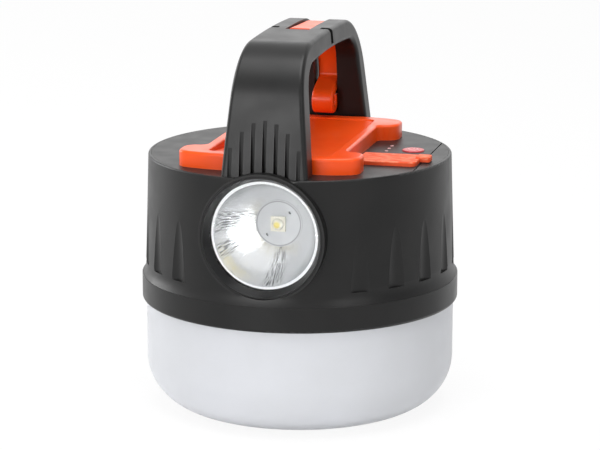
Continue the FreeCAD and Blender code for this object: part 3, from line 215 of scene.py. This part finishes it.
DRUM_DARK = (0.0055, 0.0055, 0.0056, 1.0)
DRUM_PALE = (0.0080, 0.0078, 0.0077, 1.0)
drum_black = moulded_black("drum_black", DRUM_DARK, DRUM_PALE, pore=0.00050, smooth=0.36, reach=0.0006)
drum_black.put_on("body_shell")
ring_black = moulded_black("ring_black", DRUM_DARK, DRUM_PALE, pore=0.00045, smooth=0.34, reach=0.0006)
ring_black.put_on("collar_ring")
bezel_black = moulded_black("bezel_black", DRUM_DARK, DRUM_PALE, pore=0.00040, smooth=0.30, reach=0.0004)
bezel_black.put_on("spot_bezel")


# Seal: a flat ring punched from grey silicone sheet, a little cloudy and matt. It lies between the dome's
# flange and the drum, and the collar ring presses it tight.
SEAL_GREY = (0.26, 0.26, 0.27, 1.0)
SEAL_PALE = (0.33, 0.33, 0.34, 1.0)
seal = Finish("silicone_seal", {"IOR": 1.41})
seal.feed("Base Color", seal.mottle(SEAL_GREY, SEAL_PALE, spot=0.004))
seal.feed("Roughness", seal.gloss(spot=0.002, smooth=0.55, dull=0.70))
seal.pores(size=0.0006, depth=0.00003, strength=0.4)
seal.put_on("diffuser_gasket")


# Top deck and handle: two more black mouldings. The deck drops into the drum's lip, and the arched handle
# stands on it with four screws from below. Hands have polished the handle a little.
DECK_DARK = (0.0075, 0.0074, 0.0073, 1.0)
DECK_PALE = (0.0110, 0.0108, 0.0106, 1.0)
deck_black = moulded_black("deck_black", DECK_DARK, DECK_PALE, pore=0.00060, smooth=0.40, reach=0.0005)
deck_black.put_on("top_deck")
handle_black = moulded_black("handle_black", DRUM_DARK, DRUM_PALE, pore=0.00042, smooth=0.36, reach=0.0008)
handle_black.put_on("handle")


# Tray and hook: moulded in orange ABS. The tray's pegs plug into the deck between the handle's legs, and
# the hook turns on a steel pin in the handle's slot.
ORANGE_DEEP = (0.86, 0.072, 0.004, 1.0)
ORANGE_BRIGHT = (0.91, 0.090, 0.007, 1.0)
ORANGE_WORN_AND_HIGHLIT = (0.95, 0.22, 0.10, 1.0)
ORANGE_EDGE_REACH = 0.0007
ORANGE_WEAR_AND_HIGHLIGHT_SHARE = 0.5
orange = Finish("orange_plastic", {"IOR": 1.5, "Specular IOR Level": 0.32})
# Paler pinkish edges: partly wear, partly a painted highlight where rounded edges would catch the light.
orange_wear_and_highlight = ORANGE_WEAR_AND_HIGHLIGHT_SHARE * orange.edges(ORANGE_EDGE_REACH)
tone = orange.mottle(ORANGE_DEEP, ORANGE_BRIGHT, spot=0.018, detail=1.0, limits=WIDE_NOISE)
orange.feed("Base Color", orange.mixed(orange_wear_and_highlight, tone, ORANGE_WORN_AND_HIGHLIT))
orange.feed("Roughness", orange.gloss(spot=0.008, smooth=0.28, dull=0.35, detail=1.0, limits=WIDE_NOISE))
orange.pores(size=0.0060, depth=0.00004, strength=0.10, detail=1.0)
orange.put_on("carry_hook", "handle_tray")


# Socket cover: a flap of orange silicone rubber with a pull tab. Its trapped root is held under the deck,
# and the thin web between them bends. Lint and chalky bloom streak its top.
RUBBER = (0.80, 0.100, 0.028, 1.0)
RUBBER_DEEP = (0.72, 0.070, 0.016, 1.0)
BLOOM = (0.86, 0.37, 0.22, 1.0)
BLOOM_SHARE = 0.60
BLOOM_SPOT = 0.0016
BLOOM_STRETCH = (0.40, 1.4, 1.0)
BLOOM_LIMITS = (0.42, 0.68)
COVER_TOP = 0.0982
COVER_TOP_FADE = 0.0003
rubber = Finish("orange_rubber", {"IOR": 1.42, "Specular IOR Level": 0.35})
streak = rubber.grain(BLOOM_SPOT, detail=4.0, place=rubber.stretched(*BLOOM_STRETCH))
chalk = rubber.between(streak, *BLOOM_LIMITS)
upper = rubber.between(rubber.along("Z"), COVER_TOP, COVER_TOP + COVER_TOP_FADE)
skin = rubber.mottle(RUBBER_DEEP, RUBBER, spot=0.006)
rubber.feed("Base Color", rubber.mixed(BLOOM_SHARE * chalk * upper, skin, BLOOM))
rubber.feed("Roughness", rubber.gloss(spot=0.002, smooth=0.52, dull=0.68))
rubber.pores(size=0.0006, depth=0.00005, strength=0.4, detail=3.0)
rubber.put_on("usb_cover", "usb_cover_root")


# Button: a red moulded cap that stands a little above the deck, over its switch. A raised power sign, a
# broken ring and a stroke, is moulded on its top in a paler resin.
BUTTON_RED = (0.47, 0.040, 0.050, 1.0)
BUTTON_PALE = (0.58, 0.065, 0.075, 1.0)
red = Finish("button_red", {"IOR": 1.49})
red.feed("Base Color", red.mottle(BUTTON_RED, BUTTON_PALE, spot=0.002, limits=Finish.MOST_NOISE))
red.feed("Roughness", red.gloss(spot=0.001, smooth=0.30, dull=0.42))
red.pores(size=0.0005, depth=0.00002, strength=0.3)
red.put_on("power_button")

SIGN_PINK = (0.80, 0.42, 0.42, 1.0)
SIGN_WHITE = (0.84, 0.52, 0.52, 1.0)
sign_resin = Finish("sign_resin", {"IOR": 1.49})
sign_resin.feed("Base Color", sign_resin.mottle(SIGN_PINK, SIGN_WHITE, spot=0.0008))
sign_resin.feed("Roughness", sign_resin.gloss(spot=0.0006, smooth=0.35, dull=0.50))
sign_resin.pores(size=0.0003, depth=0.00001, strength=0.3)

SIGN_RADIUS = 0.0018
SIGN_STROKE = 0.00022
SIGN_ROUNDNESS = 3
SIGN_GAP = math.radians(38.0)
SIGN_POINTS = 24
SIGN_BAR_START = 0.0003
SIGN_BAR_END = 1.15 * SIGN_RADIUS


def stroke(name, points):
    """A round bar of the sign along those points."""
    line = bpy.data.curves.new(name, "CURVE")
    line.dimensions = "3D"
    line.bevel_depth = SIGN_STROKE
    line.bevel_resolution = SIGN_ROUNDNESS
    line.use_fill_caps = True
    spline = line.splines.new("POLY")
    spline.points.add(len(points) - 1)
    for point, where in zip(spline.points, points):
        point.co = (*where, 1.0)
    line.materials.append(sign_resin.material)
    piece = bpy.data.objects.new(name, line)
    scene.collection.objects.link(piece)
    return piece


button_low, button_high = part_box("power_button")
button_middle = (button_low + button_high) / 2.0


def on_sign(angle, radius):
    """A point of the sign, with the angle from the sign's top."""
    x = button_middle.x + radius * math.sin(angle)
    y = button_middle.y + radius * math.cos(angle)
    return (x, y, button_high.z)


sign_step = 2.0 * (math.pi - SIGN_GAP) / (SIGN_POINTS - 1)
ring_points = [on_sign(SIGN_GAP + sign_step * count, SIGN_RADIUS) for count in range(SIGN_POINTS)]
bar_points = [on_sign(0.0, SIGN_BAR_START), on_sign(0.0, SIGN_BAR_END)]
power_ring = stroke("power_sign_ring", ring_points)
power_bar = stroke("power_sign_bar", bar_points)
for piece in (power_ring, power_bar):
    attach(piece, "button")


# Level windows: the ends of a three-legged light guide, moulded in pale pinkish acrylic. They come up
# through holes in the deck beside the button, and stand a hair proud of it.
WINDOW_PINK = (0.72, 0.42, 0.44, 1.0)
WINDOW_PALE = (0.80, 0.55, 0.55, 1.0)
window = Finish("level_window", {"IOR": 1.49})
window.feed("Base Color", window.mottle(WINDOW_PINK, WINDOW_PALE, spot=0.0010))
window.feed("Roughness", window.gloss(spot=0.0007, smooth=0.22, dull=0.36))
window.pores(size=0.0004, depth=0.00001, strength=0.3)
window.put_on("level_light_guide")


# Spotlight cup: a moulded paraboloid with vacuum-coated aluminium. The coating shows fine radial draw marks,
# and dark streaky patches painted into its colour are painted reflections of darker surroundings. The cup
# sits behind a clear pressed-in lens.
SPOT_HEIGHT = 0.076
SILVER = (0.92, 0.925, 0.93, 1.0)
REFLECTED_DARK = (0.10, 0.105, 0.11, 1.0)
DRAW_PULL = 5.0
DRAW_SPOT = 0.030
DRAW_DEPTH = 0.0003
REFLECTION_STREAK_SPOT = 0.024
REFLECTION_STREAK_LIMITS = (0.46, 0.58)
PAINTED_REFLECTION_PATCHES = ((2.95, 0.30), (-2.75, 0.20), (-1.46, 0.26))
REFLECTION_PATCH_CORE = 0.3
PAINTED_REFLECTION_SHARE = 0.75
CUP_MOUTH = -0.0528
CUP_MOUTH_FADE = 0.0020
CUP_SMOOTH = 0.08
CUP_DULL = 0.20
chrome = Finish("chrome_cup", {"Metallic": 1.0, "IOR": 1.5})
rise = chrome.along("Z") - SPOT_HEIGHT
turn = chrome.node("Math", {"operation": "ARCTAN2"}, {0: rise, 1: chrome.along("X")})
radial = chrome.node("CombineXYZ", {}, {"X": turn, "Y": DRAW_PULL * chrome.along("Y")})
draw_marks = chrome.grain(DRAW_SPOT, detail=3.0, place=radial)
reflection_streaks = chrome.between(chrome.grain(REFLECTION_STREAK_SPOT, place=radial), *REFLECTION_STREAK_LIMITS)
inside = chrome.between(chrome.along("Y"), CUP_MOUTH, CUP_MOUTH + CUP_MOUTH_FADE)
# Three dark patches round the inside of the cup, broken into streaks, are painted reflections, not coating.
painted_reflection_patches = 0.0
for angle, half in PAINTED_REFLECTION_PATCHES:
    near = chrome.node("Math", {"operation": "COSINE"}, {0: turn - angle})
    painted_reflection_patches = chrome.between(near, math.cos(half), math.cos(REFLECTION_PATCH_CORE * half)) + painted_reflection_patches
dark = PAINTED_REFLECTION_SHARE * (painted_reflection_patches * reflection_streaks * inside)
chrome.feed("Base Color", chrome.mixed(dark, SILVER, REFLECTED_DARK))
chrome.feed("Roughness", chrome.between(draw_marks, *Finish.MOST_NOISE, CUP_SMOOTH, CUP_DULL))
chrome.relief(draw_marks, depth=DRAW_DEPTH, strength=0.25)
chrome.put_on("spot_reflector")

LENS_CLEAR = (0.98, 0.985, 0.99, 1.0)
lens = Finish("clear_lens", {"Transmission Weight": 1.0, "IOR": 1.25, "Base Color": LENS_CLEAR})
lens.feed("Roughness", lens.gloss(spot=0.006, smooth=0.0, dull=0.03, detail=3.0, limits=(0.4, 0.8)))
lens.put_on("spot_lens")


# Boards of the lamps: aluminium-cored discs in white solder mask. The spotlight's disc closes the bottom of
# the cup, and the large one is screwed under the drum's floor.
MASK_WHITE = (0.62, 0.63, 0.635, 1.0)
MASK_GREY = (0.55, 0.56, 0.57, 1.0)
# A thin dark ring on the spotlight's disc, round its axis, is a painted shadow of the gap at the cup's hole.
PAINTED_GAP_SHADOW = (0.20, 0.20, 0.21, 1.0)
GAP_SHADOW_SHARE = 0.7
GAP_SHADOW_RADIUS = 0.0083
GAP_SHADOW_HALF = 0.00014


def from_spot_axis(finish):
    """How far the surface is from the spotlight's axis."""
    above = finish.along("Z") - SPOT_HEIGHT
    cross = finish.node("CombineXYZ", {}, {"X": finish.along("X"), "Y": above})
    return finish.node("VectorMath", {"operation": "LENGTH"}, {0: cross}, "Value")


white_board = Finish("white_board", {"IOR": 1.5})
# The line here is the painted shadow ring of that gap, not a printed mark.
past_gap_shadow = from_spot_axis(white_board) - GAP_SHADOW_RADIUS
off_gap_shadow = white_board.node("Math", {"operation": "ABSOLUTE"}, {0: past_gap_shadow})
line = white_board.between(off_gap_shadow, GAP_SHADOW_HALF, 2.0 * GAP_SHADOW_HALF, 1.0, 0.0)
mask = white_board.mottle(MASK_WHITE, MASK_GREY, spot=0.003, detail=3.0)
white_board.feed("Base Color", white_board.mixed(GAP_SHADOW_SHARE * line, mask, PAINTED_GAP_SHADOW))
white_board.feed("Roughness", white_board.gloss(spot=0.002, smooth=0.35, dull=0.50))
white_board.pores(size=0.0005, depth=0.00002, strength=0.3)
white_board.put_on("spot_led_board", "led_board")


# Lamp chips: ceramic packages with yellow phosphor under a clear dome. They are soldered to the boards, one
# large chip in the middle of the cup and two rings of small ones above the dome.
CERAMIC = (0.80, 0.77, 0.66, 1.0)
PHOSPHOR = (0.80, 0.66, 0.16, 1.0)
PHOSPHOR_RADIUS = 0.0017
PHOSPHOR_CORE = 0.4 * PHOSPHOR_RADIUS
phosphor = Finish("phosphor", {"IOR": 1.5, "Coat Weight": 0.6, "Coat Roughness": 0.08})
yellow = phosphor.between(from_spot_axis(phosphor), PHOSPHOR_CORE, PHOSPHOR_RADIUS, 1.0, 0.0)
phosphor.feed("Base Color", phosphor.mixed(yellow, CERAMIC, PHOSPHOR))
phosphor.feed("Roughness", phosphor.gloss(spot=0.0008, smooth=0.25, dull=0.45))
phosphor.pores(size=0.0004, depth=0.00002, strength=0.3)
phosphor.put_on("spot_led", "led_chips")


# Bare metals: the drawn-steel pin and screws, the pressed nickel sockets and tabs, and the cast heat sink.
# Drawing, pressing and brushing leave fine marks along one axis, and handling leaves a few stains.
BRUSH_SPOT = 0.0004
BRUSH_DEPTH = 0.00003


def brushed_metal(name, bright, stained, smooth, dull, stretch):
    """Bare metal with fine marks along one axis and a few stains."""
    finish = Finish(name, {"Metallic": 1.0})
    marks = finish.grain(BRUSH_SPOT, detail=3.0, place=finish.stretched(*stretch))
    finish.feed("Base Color", finish.mottle(bright, stained, spot=0.004, detail=3.0, limits=(0.4, 0.7)))
    finish.feed("Roughness", finish.between(marks, *Finish.MOST_NOISE, smooth, dull))
    finish.relief(marks, depth=BRUSH_DEPTH, strength=0.3)
    return finish


STEEL = (0.56, 0.56, 0.57, 1.0)
STEEL_DULL = (0.38, 0.38, 0.40, 1.0)
steel = brushed_metal("bright_steel", STEEL, STEEL_DULL, smooth=0.22, dull=0.38, stretch=(0.1, 1.0, 1.0))
steel.put_on("hook_pin", "deck_screws", "handle_screws", "board_screws", "led_board_screws")

NICKEL = (0.66, 0.64, 0.60, 1.0)
NICKEL_DULL = (0.48, 0.46, 0.43, 1.0)
nickel = brushed_metal("nickel_plate", NICKEL, NICKEL_DULL, smooth=0.20, dull=0.34, stretch=(1.0, 1.0, 0.1))
nickel.put_on("battery_tabs", "usb_a_socket", "charge_socket")

SINK = (0.70, 0.71, 0.72, 1.0)
SINK_DULL = (0.52, 0.53, 0.55, 1.0)
sink = brushed_metal("sink_metal", SINK, SINK_DULL, smooth=0.30, dull=0.46, stretch=(1.0, 0.1, 1.0))
sink.put_on("spot_heatsink")


# Works inside the drum: two wrapped cells in a moulded cradle, the green main board with its switch and
# level lights, and the leads. They show only when the case is open.
SKIN_GLOSS_SPOT = 0.5
SKIN_PORE = 0.2


def plain_skin(name, first, second, spot, smooth, dull):
    """A skin of two close tones with an uneven gloss. Gloss and pores keep step with the spots."""
    finish = Finish(name, {"IOR": 1.5})
    finish.feed("Base Color", finish.mottle(first, second, spot, detail=3.0, limits=(0.35, 0.65)))
    finish.feed("Roughness", finish.gloss(SKIN_GLOSS_SPOT * spot, smooth, dull))
    finish.pores(SKIN_PORE * spot, depth=0.00002, strength=0.3)
    return finish


WRAP_BLUE = (0.03, 0.14, 0.42, 1.0)
WRAP_PALE = (0.04, 0.18, 0.50, 1.0)
cell_wrap = plain_skin("cell_wrap", WRAP_BLUE, WRAP_PALE, spot=0.006, smooth=0.22, dull=0.34)
cell_wrap.put_on("battery_cell_front", "battery_cell_rear")

CRADLE_GREY = (0.10, 0.10, 0.11, 1.0)
CRADLE_PALE = (0.14, 0.14, 0.15, 1.0)
cradle_plastic = plain_skin("cradle_plastic", CRADLE_GREY, CRADLE_PALE, spot=0.006, smooth=0.45, dull=0.60)
cradle_plastic.put_on("battery_cradle")

BOARD_GREEN = (0.010, 0.10, 0.045, 1.0)
BOARD_PALE = (0.016, 0.14, 0.060, 1.0)
board_green = plain_skin("board_green", BOARD_GREEN, BOARD_PALE, spot=0.003, smooth=0.28, dull=0.42)
board_green.put_on("main_board")

SWITCH_BLACK = (0.02, 0.02, 0.02, 1.0)
SWITCH_PALE = (0.035, 0.035, 0.035, 1.0)
switch_black = plain_skin("switch_black", SWITCH_BLACK, SWITCH_PALE, spot=0.002, smooth=0.40, dull=0.55)
switch_black.put_on("power_switch", "level_leds")

LEAD_RED = (0.50, 0.02, 0.02, 1.0)
LEAD_PALE = (0.58, 0.03, 0.03, 1.0)
lead_skin = plain_skin("lead_skin", LEAD_RED, LEAD_PALE, spot=0.003, smooth=0.35, dull=0.50)
lead_skin.put_on("battery_leads", "led_leads", "spot_lead")


# Studio: a white sweep for the floor, a plain soft tent of light that is dimmer to the camera's right, and
# five soft boxes round the lantern. The floor stays white to the eye and keeps the lantern's faint shadow.
WHITE = (1.0, 1.0, 1.0, 1.0)
FLOOR_HALF = 6.0
FLOOR_WHITE = (0.93, 0.93, 0.93, 1.0)
FLOOR_GLOW = 0.90
floor_signs = ((-1.0, -1.0), (1.0, -1.0), (1.0, 1.0), (-1.0, 1.0))
floor_corners = [(FLOOR_HALF * x, FLOOR_HALF * y, 0.0) for x, y in floor_signs]
floor_mesh = bpy.data.meshes.new("floor")
floor_mesh.from_pydata(floor_corners, [], [(0, 1, 2, 3)])
floor = bpy.data.objects.new("floor", floor_mesh)
scene.collection.objects.link(floor)


def rays(tree, *kinds):
    """1 for rays of one of those kinds, and 0 for the others."""
    total = 0.0
    for kind in kinds:
        total = tree.node("LightPath", {}, {}, f"Is {kind} Ray") + total
    return tree.node("Math", {"operation": "MINIMUM"}, {0: total, 1: 1.0})


paper = Finish("floor_paper", {"Base Color": FLOOR_WHITE, "Roughness": 0.9, "Specular IOR Level": 0.1})
floor_mesh.materials.append(paper.material)
lit = Wire(paper, paper.shader.outputs[0])
glow = paper.node("Emission", {}, {"Color": WHITE, "Strength": 1.0})
to_eye = rays(paper, "Camera", "Glossy", "Transmission")
surface = paper.node("MixShader", {}, {0: FLOOR_GLOW * to_eye, 1: lit, 2: glow})
paper.join(paper.nodes["Material Output"].inputs["Surface"], surface)

TENT_LEVEL = 0.36
TENT_DIM = 0.45
TENT_DIM_SIDE = (0.80, -0.60, 0.0)
TENT_DIM_FULL = 0.9
world = bpy.data.worlds.new("tent")
scene.world = world
tent = Tree(world)
way = tent.node("TexCoord", {}, {}, "Generated")
facing = tent.node("VectorMath", {"operation": "DOT_PRODUCT"}, {0: way, 1: TENT_DIM_SIDE}, "Value")
shade = tent.between(facing, 0.0, TENT_DIM_FULL, 1.0, TENT_DIM)
level = TENT_LEVEL + (1.0 - TENT_LEVEL) * rays(tent, "Glossy")
behind = rays(tent, "Camera", "Transmission")
backdrop = tent.nodes["Background"].inputs
tent.join(backdrop["Color"], WHITE)
tent.join(backdrop["Strength"], behind + (1.0 - behind) * shade * level)

LANTERN_MIDDLE = Vector((0.0, 0.0, 0.07))


def softbox(name, place, width, height, power):
    """A soft lamp that faces the lantern."""
    lamp = bpy.data.lights.new(name, "AREA")
    lamp.shape = "RECTANGLE"
    lamp.size = width
    lamp.size_y = height
    lamp.energy = power
    holder = bpy.data.objects.new(name, lamp)
    holder.location = place
    holder.rotation_euler = (LANTERN_MIDDLE - Vector(place)).to_track_quat("-Z", "Y").to_euler()
    scene.collection.objects.link(holder)


softbox("softbox_top", (0.10, -0.25, 1.30), width=0.9, height=0.9, power=15.0)
softbox("softbox_front", (-0.40, -1.50, 0.36), width=0.8, height=0.6, power=10.5)
softbox("softbox_right", (1.10, -0.95, 0.55), width=0.6, height=0.6, power=3.6)
softbox("softbox_left", (-1.35, 0.45, 0.45), width=0.6, height=0.9, power=9.0)
softbox("softbox_back", (-0.30, 1.60, 0.62), width=1.6, height=0.6, power=2.8)


# Camera: a long lens a metre away, to the right of the spotlight's axis and looking slightly down. It is
# aimed at the middle of the lantern, and its picture keeps plain colours.
EYE_TURN = math.radians(14.0)
EYE_RISE = math.radians(12.81)
EYE_DISTANCE = 1.0
EYE_TARGET = Vector((0.0, 0.0, 0.06829))
EYE_LENS = 157.85
EYE_SENSOR = 36.0
eye_reach = EYE_DISTANCE * math.cos(EYE_RISE)
eye_height = EYE_DISTANCE * math.sin(EYE_RISE)
offset = Vector((eye_reach * math.sin(EYE_TURN), -eye_reach * math.cos(EYE_TURN), eye_height))
eye = bpy.data.cameras.new("camera")
eye.lens = EYE_LENS
eye.sensor_width = EYE_SENSOR
camera = bpy.data.objects.new("camera", eye)
camera.location = EYE_TARGET + offset
camera.rotation_euler = (-offset).to_track_quat("-Z", "Y").to_euler()
scene.collection.objects.link(camera)
scene.camera = camera
scene.view_settings.view_transform = "Standard"
